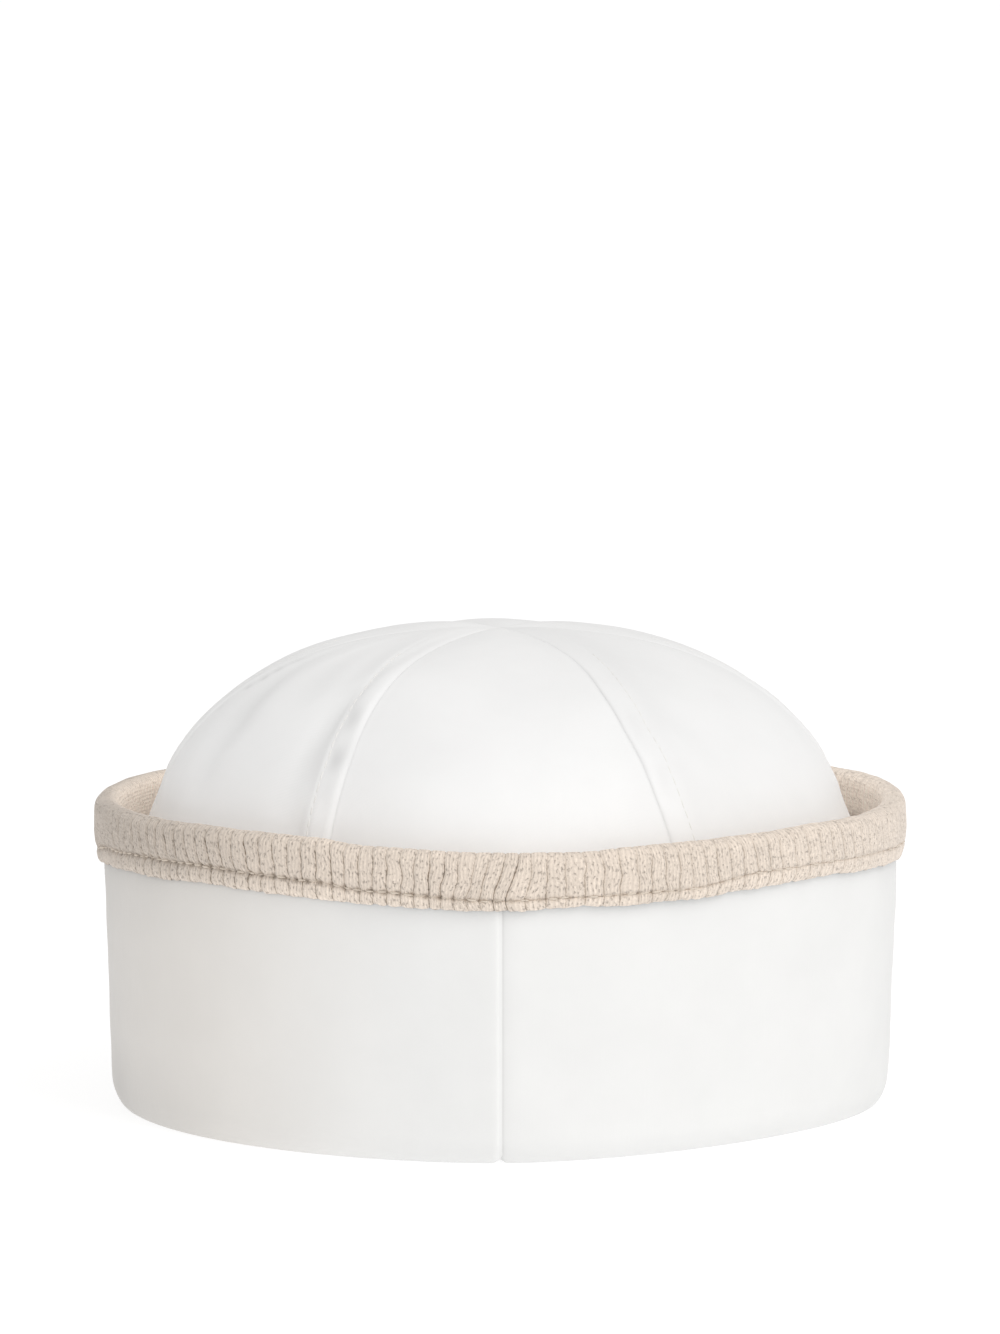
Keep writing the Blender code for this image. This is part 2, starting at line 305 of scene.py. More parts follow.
def new_piece(name, points, faces, uv, material, sharp):
    """A mesh object from points, faces of four corners and one UV for each corner."""
    mesh = bpy.data.meshes.new(name)
    mesh.vertices.add(len(points))
    mesh.vertices.foreach_set("co", np.ascontiguousarray(points, np.float32).ravel())
    mesh.loops.add(faces.size)
    mesh.loops.foreach_set("vertex_index", faces.astype(np.int32).ravel())
    mesh.polygons.add(len(faces))
    mesh.polygons.foreach_set("loop_start", np.arange(0, faces.size, 4, dtype=np.int32))
    layer = mesh.uv_layers.new(name="cloth")
    mesh.update(calc_edges=True)
    layer.data.foreach_set("uv", np.ascontiguousarray(uv, np.float32).ravel())
    mesh.validate()
    mesh.shade_smooth()
    if sharp:  # degrees between faces
        mesh.set_sharp_from_angle(angle=math.radians(sharp))
    mesh.materials.append(material)
    obj = bpy.data.objects.new(name, mesh)
    bpy.context.scene.collection.objects.link(obj)
    return obj


def quads(grid):
    """The corners of each face of a grid of point numbers, for rows that run down an outer face."""
    return np.stack([grid[:-1, :-1], grid[1:, :-1], grid[1:, 1:], grid[:-1, 1:]], -1).reshape(-1, 4)


def wall(name, rows, uv, material, sharp, round_it=False):
    """A closed wall from one loop of rows: down the outer face, then up the inner one.

    The grid of points closes from its last row to its first. Round the cap it closes too, or else
    its two ends are capped, each row against the one as far from the loop's other end.
    """
    count, columns = rows.shape[:2]
    index = np.arange(count * columns).reshape(count, columns)
    index = np.vstack([index, index[:1]])
    uv = np.concatenate([uv, uv[-1:]])
    if round_it:
        index = np.hstack([index, index[:, :1]])
    places = np.arange(uv.shape[0] * uv.shape[1]).reshape(uv.shape[:2])
    faces, corners = [quads(index)], [quads(places)]
    if not round_it:
        half = count // 2
        outer, inner = np.arange(half), count - 1 - np.arange(half)
        for end, turned in ((0, True), (columns - 1, False)):
            strip = np.stack([index[outer, end], index[inner, end]], 1)
            marks = np.stack([places[outer, end], places[inner, end]], 1)
            if turned:
                strip, marks = strip[:, ::-1], marks[:, ::-1]
            faces.append(quads(strip))
            corners.append(quads(marks))
    faces, corners = np.concatenate(faces), np.concatenate(corners)
    return new_piece(name, rows.reshape(-1, 3), faces, uv.reshape(-1, 2)[corners], material, sharp)


def cloth_wall(name, outer, inner, sideways, painted_shading, material):
    """A wall of satin from its two faces, with its UV as metres of cloth, and its outer face's painted light and
    shade.
    """
    uv = np.stack([np.broadcast_to(sideways, painted_shading.shape), -lengths_down(outer)], -1)
    piece = wall(name, np.concatenate([outer, inner[::-1]]), np.concatenate([uv, uv[::-1]]), material, 60)
    # Painted light and shade on the outer face only; the inner face stays plain
    paint(piece, "painted_shading", np.concatenate([painted_shading, np.ones_like(painted_shading)]))
    return piece


def paint(piece, name, values):
    """A number for each point of a piece, as a named attribute that its material reads."""
    values = np.ascontiguousarray(values, np.float32).ravel()
    piece.data.attributes.new(name, "FLOAT", "POINT").data.foreach_set("value", values)


def stitches(name, path, normal, length, width, material, share, sink):
    """Threads along a path, one for each stitch length, as joined slim pods.

    A pod's middle line bows up from the cloth at its centre and lies deeper by the sink, and its radius
    is the fourth root of one minus the fourth power of the distance from its middle, so that both ends
    are round. By chance a pod is a little longer or shorter, off its place and off the line. With a
    sink below 0 the pods stand clear of the cloth, and some of them lie deeper.
    """
    steps = np.linalg.norm(np.diff(path, axis=0), axis=1)
    run = np.concatenate([[0], np.cumsum(steps)])
    count = max(1, int(round(run[-1] / length)))
    chance = np.random.RandomState(count).rand(3, count, 1) - 0.5
    pitch = run[-1] / count
    along = np.linspace(-1, 1, 9)
    middle = (np.arange(count)[:, None] + 0.5 + 0.16 * chance[0]) * pitch
    places = middle + along * pitch / 2 * share * (1 + 0.3 * chance[1])
    line = np.stack([np.interp(places, run, path[:, axis]) for axis in range(3)], -1)
    lift = np.stack([np.interp(places, run, normal[:, axis]) for axis in range(3)], -1)
    lift /= np.linalg.norm(lift, axis=-1, keepdims=True)
    way = np.gradient(line, axis=1)
    way /= np.linalg.norm(way, axis=-1, keepdims=True)
    side = np.cross(way, lift)
    bow = width * (0.30 * (1 - along**2)) - sink
    deeper = width * 0.9 * (chance[1] + 0.35) * (sink < 0)
    stray = width * (0.5 * chance[2] + 0.35 * chance[0] * along)
    line += side * stray[..., None] + lift * (bow - deeper)[..., None]
    radius = width / 2 * np.sqrt(np.sqrt(np.clip(1 - along**4, 0.002, None)))
    sides = 6
    turn = np.linspace(0, 2 * np.pi, sides + 1)[:-1, None]
    rim = side[:, :, None] * np.cos(turn) + lift[:, :, None] * np.sin(turn)
    points = line[:, :, None] + rim * radius[None, :, None, None]
    local = np.arange(len(along) * sides).reshape(len(along), sides)
    local = np.hstack([local, local[:, :1]])
    first, last = local[0], local[-1]
    ends = [first[[3, 2, 1, 0]], first[[0, 5, 4, 3]], last[[0, 1, 2, 3]], last[[3, 4, 5, 0]]]
    pod = np.concatenate([quads(local.T), ends])
    faces = (pod[None] + (np.arange(count) * len(along) * sides)[:, None, None]).reshape(-1, 4)
    uv = np.stack([np.repeat(along, sides), np.tile(np.arange(sides) / sides, len(along))], -1)
    uv = np.tile(uv[pod.ravel()], (count, 1))
    return new_piece(name, points.reshape(-1, 3), faces, uv, material, sharp=0)


def join(name, pieces):
    """Several pieces of one material as one."""
    with bpy.context.temp_override(
        active_object=pieces[0], selected_editable_objects=pieces, object=pieces[0], selected_objects=pieces
    ):
        bpy.ops.object.join()
    pieces[0].name = name
    pieces[0].data.name = name
    return pieces[0]


# ---- materials

# Which output of a node is used, where that isn't its first
OUTPUTS = {"Attribute": 2, "Mix": 2, "TexWave": 1, "VectorMath": 1}


def fill(tree, made, **links):
    """Set a node's inputs to values, or link them to sockets. An input goes by its name, or by its
    number after an underscore."""
    for key, value in links.items():
        socket = made.inputs[int(key[1:])] if key[1:].isdigit() else made.inputs[key.replace("_", " ")]
        if isinstance(value, bpy.types.NodeSocket):
            tree.links.new(value, socket)
        else:
            socket.default_value = value


def node(tree, kind, settings=None, **links):
    """The used output of a new node of this kind, with its settings and inputs."""
    made = tree.nodes.new("ShaderNode" + kind)
    for key, value in (settings or {}).items():
        setattr(made, key, value)
    fill(tree, made, **links)
    return made.outputs[OUTPUTS.get(kind, 0)]


def painted(tree, name):
    """The number that paint() gave to each point under this name."""
    return node(tree, "Attribute", {"attribute_name": name})


def cloth(name, **constants):
    """A new material, its node tree, and its shader with constants set."""
    material = bpy.data.materials.new(name)
    material.use_nodes = True
    tree = material.node_tree
    shader = tree.nodes["Principled BSDF"]
    fill(tree, shader, **constants)
    return material, tree, shader


def woven_satin(name, colour):
    """Polyester satin, woven with long floats and pressed.

    That gives a smooth off-white face with a low soft sheen. The weave itself, about 0.2 mm a thread,
    is too fine for the picture, so its slanting lines are drawn 0.9 mm apart and very shallow, with
    faint slubs along the warp and the slow unevenness that pressing leaves.
    """
    material, tree, shader = cloth(name, Roughness=0.52, IOR=1.46, Sheen_Weight=0.08, Sheen_Roughness=0.45)
    place = node(tree, "UVMap", {"uv_map": "cloth"})
    # UV is in metres, so a scale of 1000 / spacing in millimetres gives one line for each spacing
    warp = node(tree, "Mapping", Vector=place, Rotation=(0, 0, math.radians(64)), Scale=(1000, 1000, 1000))
    bands = {"wave_type": "BANDS", "bands_direction": "X"}
    twill = node(tree, "TexWave", bands, Vector=warp, Scale=0.35, Distortion=1.2, Detail=1.0, Detail_Scale=1.5)
    long_way = node(tree, "Mapping", Vector=place, Scale=(1000 / 0.8, 1000 / 9.0, 1))
    slub = node(tree, "TexNoise", Vector=long_way, Scale=1.0, Detail=2.0)
    press = node(tree, "TexNoise", Vector=place, Scale=1000 / 26.0, Detail=3.0, Roughness=0.55)
    # Pressed places are a touch greyer and rougher than the rest, and the painted light and shade attribute darkens
    # hollows and lightens some places
    shade = node(tree, "MapRange", Value=press, From_Min=0.3, From_Max=0.7, To_Min=0.965, To_Max=1.0)
    shade = node(tree, "Math", {"operation": "MULTIPLY"}, _0=shade, _1=painted(tree, "painted_shading"))
    # Painted warm shade: a warmer tint where the warm attribute marks the shaded left side of the cuff
    warm_shaded = [part * share for part, share in zip(colour, (1.0, 0.965, 0.930))]
    base = node(tree, "Mix", {"data_type": "RGBA"}, _0=painted(tree, "warm_shade"), _6=(*colour, 1), _7=(*warm_shaded, 1))
    tint = node(tree, "Mix", {"data_type": "RGBA", "blend_type": "MULTIPLY"}, _0=1.0, _6=base, _7=shade)
    rough = node(tree, "MapRange", Value=slub, From_Min=0.3, From_Max=0.7, To_Min=0.46, To_Max=0.58)
    lines = node(tree, "Bump", Strength=0.10, Distance=0.00005, Height=twill)
    slubs = node(tree, "Bump", Strength=0.12, Distance=0.00008, Height=slub, Normal=lines)
    soft = node(tree, "Bump", Strength=0.35, Distance=0.0006, Height=press, Normal=slubs)
    fill(tree, shader, Base_Color=tint, Roughness=rough, Normal=soft)
    return material


def ribbed_cotton(name, colour, furrow):
    """Unbleached cotton rib knit, made on a circular machine and sewn on as a tape.

    That gives matt rounded ribs with slightly ragged furrows, four finer wales on each rib, and small dark and
    light flecks where the yarn is uneven. The flecks, about 0.2 mm across, are drawn at twice that so that they
    show. Painted shade darkens the furrows and the stitch pits, and painted light lies on the wales' ridges.
    """
    material, tree, shader = cloth(name, Roughness=0.88, IOR=1.5, Sheen_Weight=0.25, Sheen_Roughness=0.5)
    parts = node(tree, "SeparateXYZ", Vector=node(tree, "UVMap", {"uv_map": "cloth"})).node.outputs
    count, down = parts["X"], parts["Y"]

    def sums(operation, *values):
        return node(tree, "Math", {"operation": operation}, **{f"_{at}": value for at, value in enumerate(values)})

    def step(value, start, end):
        """A smooth step of a value, from 0 at the start to 1 at the end."""
        return node(tree, "MapRange", {"interpolation_type": "SMOOTHSTEP"}, Value=value, From_Min=start, From_Max=end)

    def wave(kind, value, times):
        """A sine or cosine of a value this many times, between 0 and 1."""
        return sums("MULTIPLY", sums("ADD", sums(kind, sums("MULTIPLY", value, times)), 1.0), 0.5)

    # A rib is one unit of UV across and about 3.6 mm of cloth, and UV down the cloth is in metres
    even = node(tree, "CombineXYZ", X=sums("MULTIPLY", count, 3.6), Y=sums("MULTIPLY", down, 1000))
    fleck_place = node(tree, "Mapping", Vector=even, Scale=(2.3, 0.9, 1))
    fleck = node(tree, "TexNoise", Vector=fleck_place, Scale=1.0, Detail=1.5, Roughness=0.6)
    broad = node(tree, "TexNoise", Vector=even, Scale=0.16, Detail=2.0)
    break_up = node(tree, "TexNoise", Vector=even, Scale=0.55, Detail=3.0)
    # Distance from the nearest furrow, in ribs: the yarn makes its line a little ragged
    ragged = sums("MULTIPLY_ADD", sums("SUBTRACT", fleck, 0.5), 0.16, count)
    near = sums("ABSOLUTE", sums("SUBTRACT", sums("FRACT", sums("ADD", ragged, 0.5)), 0.5))
    broken = node(tree, "MapRange", Value=break_up, From_Min=0.36, From_Max=0.54, To_Min=0.6, To_Max=1.0)
    line = sums("MULTIPLY", step(near, 0.060, 0.010), broken)
    # Painted shade in the furrows, as dark as the ribs are drawn deep
    dark = sums("MULTIPLY", line, sums("MULTIPLY", painted(tree, "rib_strength"), 1.05))
    pits = step(fleck, 0.60, 0.68)
    dark = sums("MAXIMUM", dark, sums("MULTIPLY", pits, painted(tree, "fleck_share")))
    # Painted shade in the stitch pits
    dark = sums("MAXIMUM", dark, sums("MULTIPLY", painted(tree, "stitch_pit_shade"), 0.90))
    light = [min(1.0, part * 1.2) for part in colour]
    lights = sums("MULTIPLY", step(fleck, 0.44, 0.32), 0.6)
    base = node(tree, "Mix", {"data_type": "RGBA"}, _0=lights, _6=(*colour, 1), _7=(*light, 1))
    # Four wales a rib, each a smooth ridge with painted light, lighter than the line beside it
    wale = wave("COSINE", count, 8 * math.pi)
    shade = node(tree, "MapRange", Value=broad, From_Min=0.3, From_Max=0.7, To_Min=0.86, To_Max=0.95)
    # The binding's painted light and shade attribute scales the colour too
    shade = sums("MULTIPLY", sums("ADD", shade, sums("MULTIPLY", wale, 0.13)), painted(tree, "painted_shading"))
    base = node(tree, "Mix", {"data_type": "RGBA", "blend_type": "MULTIPLY"}, _0=1.0, _6=base, _7=shade)
    # The furrow colour is the painted shade of the furrows and stitch pits
    tint = node(tree, "Mix", {"data_type": "RGBA"}, _0=dark, _6=base, _7=(*furrow, 1))
    # Courses run across the wales, 0.9 mm apart
    course = wave("SINE", down, 2 * math.pi * 1000 / 0.9)
    knit = sums("ADD", wale, sums("MULTIPLY", course, 0.5))
    yarn = sums("SUBTRACT", sums("ADD", sums("MULTIPLY", knit, 0.35), fleck), sums("MULTIPLY", pits, 1.2))
    bump = node(tree, "Bump", Strength=0.9, Distance=0.00032, Height=yarn)
    fill(tree, shader, Base_Color=tint, Normal=bump)
    return material


def spun_thread(name, colour):
    """Spun polyester sewing thread, twisted and lightly polished: slanting plies, with painted shade between them,
    and a soft gleam.
    """
    material, tree, shader = cloth(name, Roughness=0.6, IOR=1.5, Sheen_Weight=0.15)
    place = node(tree, "UVMap", {"uv_map": "cloth"})
    slanted = node(tree, "Mapping", Vector=place, Rotation=(0, 0, math.radians(30)))
    plies = node(tree, "TexWave", {"wave_type": "BANDS"}, Vector=slanted, Scale=1.2, Distortion=0.4)
    # Painted shade between the plies
    shade = node(tree, "MapRange", Value=plies, To_Min=0.86, To_Max=1.0)
    tint = node(tree, "Mix", {"data_type": "RGBA", "blend_type": "MULTIPLY"}, _0=1.0, _6=(*colour, 1), _7=shade)
    bump = node(tree, "Bump", Strength=0.3, Distance=0.00006, Height=plies)
    fill(tree, shader, Base_Color=tint, Normal=bump)
    return material


# ---- crown

CROWN_ROWS = 128
SIDE_ROWS = 16
# Places across a gore from one seam, in millimetres, closest where the cloth turns
SEAM_STEPS = np.array(
    [0, 0.12, 0.28, 0.45, 0.65, 0.9, 1.3, 2.0, 2.9, 3.8, 4.7, 5.3, 5.7, 6.0, 6.3, 6.6, 6.9, 7.3, 7.9, 8.8, 10.2]
)
MIDDLE_COLUMNS = 22
STITCHED = (0.030, 0.114)  # heights between which the allowances are topstitched
# Dents beside a seam: (gore, at its start, from the seam, height, depth, half length, half width), in millimetres
DENTS = (
    (6, False, 5.3, 100.9, 0.85, 2.9, 2.9),
    (6, False, 5.2, 91.9, 0.95, 3.0, 3.0),
    (6, False, 4.8, 85.5, 0.25, 2.4, 2.4),
    (6, True, 5.4, 109.6, 0.45, 0.7, 3.0),
    (6, True, 5.6, 107.4, 0.75, 0.6, 3.4),
    (6, True, 6.0, 105.5, 0.80, 0.7, 3.4),
    (6, True, 5.4, 103.2, 0.60, 0.7, 3.2),
    (6, True, 5.0, 98.0, 0.30, 1.3, 3.0),
    (6, True, 4.8, 91.0, 0.30, 1.5, 2.8),
    (6, True, 4.6, 84.0, 0.25, 1.7, 2.6),
    (5, False, 4.6, 103.0, 0.60, 2.5, 2.2),
    (5, False, 4.6, 93.0, 0.60, 2.6, 2.2),
    (2, True, 4.8, 100.0, 0.25, 3.2, 2.4),
    (2, True, 4.8, 88.0, 0.22, 3.2, 2.4),
    (3, True, 4.6, 101.0, 0.50, 2.8, 2.2),
    (3, False, 4.6, 95.0, 0.50, 2.8, 2.2),
    (5, True, 4.6, 97.0, 0.50, 2.8, 2.2),
)
DEGREE_ACROSS = 1.45  # millimetres
# Soft folds of the crown: (degrees from the back, height, the same two at the other end, depth, half width), the
# lengths in millimetres
FOLDS = (
    (-75.0, 108.5, -59.5, 92.5, 2.0, 5.5),
    (-66.0, 95.0, -60.0, 80.0, 0.8, 5.0),
    (-35.0, 114.0, -38.0, 80.0, 1.3, 3.4),
    (-60.0, 112.0, -46.0, 104.0, 0.7, 4.4),
    (36.0, 108.0, 42.0, 90.0, 0.5, 4.0),
    (150.0, 106.0, 140.0, 92.0, 0.5, 4.5),
    (-148.0, 104.0, -138.0, 90.0, 0.5, 4.5),
    (96.0, 104.0, 106.0, 90.0, 0.4, 5.0),
)


def fold_depth(angle, height):
    """Shallow troughs along straight lines over the crown: deepest in the middle of their length, and
    falling off as a bell of the distance from the line."""
    turn = (np.degrees(angle) + 180) % 360 - 180
    across, up = turn * DEGREE_ACROSS, height * 1000
    depth = np.zeros(np.broadcast(across, up).shape)
    for start_turn, start_up, end_turn, end_up, deep, wide in FOLDS:
        start = np.array([start_turn * DEGREE_ACROSS, start_up])
        way = np.array([end_turn * DEGREE_ACROSS, end_up]) - start
        reach = np.hypot(*way)
        way /= reach
        along = ((across - start[0]) * way[0] + (up - start[1]) * way[1]) / reach
        side = (across - start[0]) * -way[1] + (up - start[1]) * way[0]
        depth += deep / 1000 * np.sin(np.pi * np.clip(along * 0.86 + 0.07, 0, 1)) * bell(side, wide)
    return depth


def crown_rows(wall_in):
    """Each row from the tip down: its share of the plan and its height, on a curve whose share is a
    power of the cosine and whose height is a power of the sine, over a straight side."""
    width = HEAD_WIDTH / 2 + CROWN_OUT
    tip = math.acos((TIP_RADIUS / width) ** (DOME_TOP / 2))
    turn = tip * (1 - np.linspace(0, 1, CROWN_ROWS) ** 1.15)
    share = np.cos(turn) ** (2 / DOME_TOP)
    height = SHOULDER + (DOME_RISE - wall_in) * np.sin(turn) ** (2 / DOME_SIDE)
    sides = np.linspace(SHOULDER, FOLD_HALF, SIDE_ROWS + 1)[1:]
    return np.append(share, np.ones(SIDE_ROWS)), np.append(height, sides)


def gore_span(number, height):
    """Where a gore starts and ends at these heights, in radians: its own two angles and its seams' bends."""
    ends = []
    for seam, angle in zip((number - 1 or len(GORES), number), GORES[number - 1][:2]):
        bend = np.array(SEAM_BENDS.get(seam, ((0, 0.0),)), float)
        ends.append(np.radians(angle + np.interp(height * 1000, bend[:, 0], bend[:, 1])))
    return ends


def gore_columns(width):
    """Shares across a gore of this width: the seam steps from both seams, and even ones between."""
    steps = SEAM_STEPS / 1000
    reach = np.minimum(1.0, 0.36 * width / steps[-1])
    near = steps * reach[:, None] / width[:, None]
    start = near[:, -1:]
    middle = start + (1 - 2 * start) * np.linspace(0, 1, MIDDLE_COLUMNS + 2)[1:-1]
    return np.concatenate([near, middle, 1 - near[:, ::-1]], axis=1)


def gore_relief(number, across, width, angle, height, settings):
    """How far the outer face stands out, and its painted light and shade.

    The relief is a sine of fullness between the seams less the soft folds, a welt over each pressed
    allowance that rises at the seam, falls away past its stitching and is lower near the tip, a bell
    of a furrow under the stitches, puckers and dents between the two, and soft waves over the whole.
    Painted shade makes folds and dents darker, by their depth, and so the lines of two seams, the cloth beyond a
    row of stitches, the right of the back and the low places of the soft waves. Painted light makes the foot of the
    crown lighter.
    """
    above = ease((height - FACING_HEIGHT) / 0.026)
    grow = ease(width / 0.050)
    inset = settings.stitch_inset
    fold = fold_depth(angle, height)
    relief = (0.0008 * np.sin(np.pi * across) - fold) * above
    # Painted shade in the folds, and painted light lifting the crown's foot where the cuff's rim shades it
    painted_shading = 1.0 - 36 * fold + 0.06 * (1 - ease((height - 0.074) / 0.022))
    # Painted shade on the right of the back
    painted_shading -= 0.04 * bell(angle - 0.75, 0.35) * above
    # The sides are drawn in a little where the crown comes out of the cuff
    relief -= 0.0014 * bell(height - 0.074, 0.010) * np.sin(angle) ** 8
    for at_start, welt in zip((True, False), GORES[number - 1][2:]):
        distance = (across if at_start else 1 - across) * width
        seed = number * 2 + at_start
        for gore, starts, inward, level, depth, half_long, half_wide in DENTS:
            if (gore, starts) == (number, at_start):
                # A dent slopes gently from the seam and steeply from the stitching
                side = distance - inward / 1000
                along = bell(height - level / 1000, half_long / 1000)
                relief -= depth / 1000 * bell(side, np.where(side < 0, half_wide, 1.1) / 1000) * along
                # Painted shade in the dent
                painted_shading -= 0.16 * depth * bell(side + 0.0013, half_wide * 0.8 / 1000) * along
        relief -= 0.00014 * bell(distance, 0.00030) * above
        # Painted shade on the right seam of the back, from both sides, and on one side of the front's right seam
        if (number, at_start) in ((1, False), (2, True), (3, False)):
            painted_shading -= 0.10 * bell(distance, 0.0005) * above * (1 - ease((height - 0.109) / 0.006))
        if not welt:
            relief -= 0.00010 * bell(distance - 0.0014, 0.0014) * above * grow
            continue
        uneven = 1 + 0.30 * ripple(distance * 0.1, height, 0.012, seed + 20)
        top = ease((distance - 0.0001) / 0.0014) * (1 - ease((distance - inset + 0.0002) / 0.0030))
        relief += settings.welt_rise * welt * top * grow * uneven * (1 - 0.55 * ease((height - 0.100) / 0.012))
        relief -= 0.00028 * welt * bell(distance - inset, 0.00065) * grow
        # Painted shade on the cloth beyond the row of stitches
        painted_shading -= 0.06 * welt * bell(distance - inset - 0.0028, 0.0032) * grow
        between = bell(distance - inset * 0.55, inset * 0.34)
        relief += settings.pucker * ripple(distance * 0.35, height, 0.0085, seed) * between * grow
        beyond = bell(distance - inset - 0.0042, 0.0036)
        relief += settings.pucker * 0.8 * ripple(distance * 0.5, height, 0.013, seed + 40) * beyond * grow
    swell = ripple(across * width, height, 0.045, number + 70)
    relief += 0.00035 * swell * np.sin(np.pi * across) * above * grow
    # Painted shade in the soft waves' low places and painted light on their crests
    return relief, painted_shading + 0.012 * swell


def gore_face(number, wall_in, settings):
    """One face of a gore as a grid, with the distance across for its UV, and its painted light and shade."""
    share, height = crown_rows(wall_in)
    start, end = gore_span(number, height)
    radius = share * (HEAD_WIDTH / 2 + CROWN_OUT)
    trim = 0.00001 / radius
    width = radius * (end - start)
    across = gore_columns(width)
    angle = (start + trim)[:, None] + (end - start - 2 * trim)[:, None] * across
    height = height[:, None] + np.zeros_like(angle)
    relief, painted_shading = np.zeros_like(angle), np.ones_like(angle)
    if not wall_in:
        relief, painted_shading = gore_relief(number, across, width[:, None], angle, height, settings)
        relief *= ease(radius / 0.0128)[:, None]
    lifted = height + relief * (1 - share[:, None] ** 2)
    face = ring(angle, lifted, CROWN_OUT - wall_in + relief, share[:, None])
    face[..., 0] -= DOME_LEAN * np.clip((height - SHOULDER) / DOME_RISE, 0, 1)
    return face, (across - 0.5) * width[:, None], painted_shading


def make_gore(number, settings, material):
    outer, sideways, painted_shading = gore_face(number, 0.0, settings)
    inner, _, _ = gore_face(number, CROWN_WALL, settings)
    # Each gore is cut from another place of the cloth
    piece = cloth_wall(f"crown_gore_{number}", outer, inner, sideways + 0.3 * number, painted_shading, material)
    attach(piece, "root")
    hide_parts(f"crown_panel_{number}")
    return outer, sideways


def seam_stitches(number, outer, sideways, settings, material):
    """Topstitching on each pressed allowance of a gore, from near the tip to below the rim."""
    made = []
    normal = normals_of(outer)
    column = int(np.argmin(np.abs(SEAM_STEPS / 1000 - settings.stitch_inset)))
    for at_start, welt in zip((True, False), GORES[number - 1][2:]):
        if not welt:
            continue
        place, seam = (column, 0) if at_start else (-1 - column, -1)
        distance = np.abs(sideways[:, place] - sideways[:, seam])
        level = outer[:, place, 2]
        in_place = np.abs(distance - settings.stitch_inset) < 0.0015
        keep = np.flatnonzero(in_place & (level > STITCHED[0]) & (level < STITCHED[1]))
        name, sink = f"seam_thread_{number}_{int(at_start)}", 0.00018 - 0.00012 * welt
        path, lift = outer[keep, place], normal[keep, place]
        made.append(stitches(name, path, lift, settings.stitch_length, CROWN_THREAD, material, 0.86, sink))
    return made


class CAP_OT_crown(bpy.types.Operator):
    """Six gores with their pressed seam allowances, and the topstitching along them"""

    bl_idname = "sailor_cap.crown"
    bl_label = "Crown"

    def execute(self, context):
        settings = context.scene.cap_crown
        material = woven_satin("polyester_satin_crown", settings.satin)
        thread = spun_thread("polyester_thread_white", linear("F2F1EE"))
        threads = []
        for number in range(1, len(GORES) + 1):
            outer, sideways = make_gore(number, settings, material)
            threads += seam_stitches(number, outer, sideways, settings, thread)
        piece = join("crown_topstitching", threads)
        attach(piece, "root")
        return {"FINISHED"}


# ---- cuff

CUFF_COLUMNS = 260
LEG_ROWS = 56
FOLD_ROWS = 12


def cuff_section(angle):
    """Both faces from the cuff's top edge down its leg, round the fold and up the facing: the fold's
    outer face is a quarter round of two heights on each side of its resting flat."""
    top = rim_height(angle) - BINDING_WALL - GAP
    level = np.zeros_like(angle)
    outer, inner = [], []
    for share in np.linspace(1, 0, LEG_ROWS + 1)[:-1] ** 1.1:
        height = FOLD_RISE + (top - FOLD_RISE) * share
        outer.append(cuff_point(angle, height, 0))
        inner.append(cuff_point(angle, height, CUFF_WALL))
    for side, rise in ((-1, FOLD_RISE), (1, FOLD_HALF)):
        for turn in np.linspace(0, math.pi / 2, FOLD_ROWS)[::-side]:
            reach = REST_WIDTH / 2 + (FOLD_HALF - REST_WIDTH / 2) * math.cos(turn)
            floor = CHANNEL / 4 * (1 + math.cos(turn))
            low = level + rise * (1 - math.sin(turn))
            high = level + rise - (rise - CUFF_WALL) * math.sin(turn)
            # The leg's lean fades into the fold, so that the face runs on without a crease
            lean = (CUFF_RIM_OUT - CUFF_FOOT_OUT) * np.sqrt(low / RIM_HEIGHT) * (side < 0) * math.cos(turn) ** 2
            outer.append(ring(angle, low, CUFF_FOOT_OUT + lean - FOLD_HALF - side * reach))
            inner.append(ring(angle, high, CUFF_FOOT_OUT - CUFF_WALL - CHANNEL / 2 - side * floor))
    for share in np.linspace(0, 1, 9)[1:]:
        height = level + FOLD_HALF + (FACING_HEIGHT - FOLD_HALF) * share
        outer.append(ring(angle, height, 0.0))
        inner.append(ring(angle, height, FACING_WALL))
    return np.stack(outer), np.stack(inner)


def cuff_relief(angle, outer, side, settings):
    """How far the outer face stands out: at the back seam the left half laps over the right in a
    rounded step, with small puckers beside it, and soft waves run over the whole leg."""
    height = outer[..., 2]
    distance = np.abs(angle)[None] * (HEAD_WIDTH / 2 + CUFF_RIM_OUT)
    outside = (np.arange(len(outer)) < LEG_ROWS + FOLD_ROWS)[:, None]
    leg = ease(height / 0.012) * outside
    along = angle[None] * (HEAD_WIDTH / 2)
    relief = settings.wave * ripple(along, height, 0.040, 11) * leg
    relief += settings.wave * 0.5 * ripple(along * 0.6, height, 0.017, 12) * leg
    beside = bell(distance, 0.009) * leg
    relief += 0.00014 * ripple(along * 0.4, height, 0.011, 13) * beside
    step = settings.lap * bell(distance, 0.0045)
    roll = 0.00022 * bell(distance, 0.00040)
    shape = step - roll if side < 0 else -0.35 * step - 0.2 * roll
    return relief + shape * ease(height / 0.004) * outside


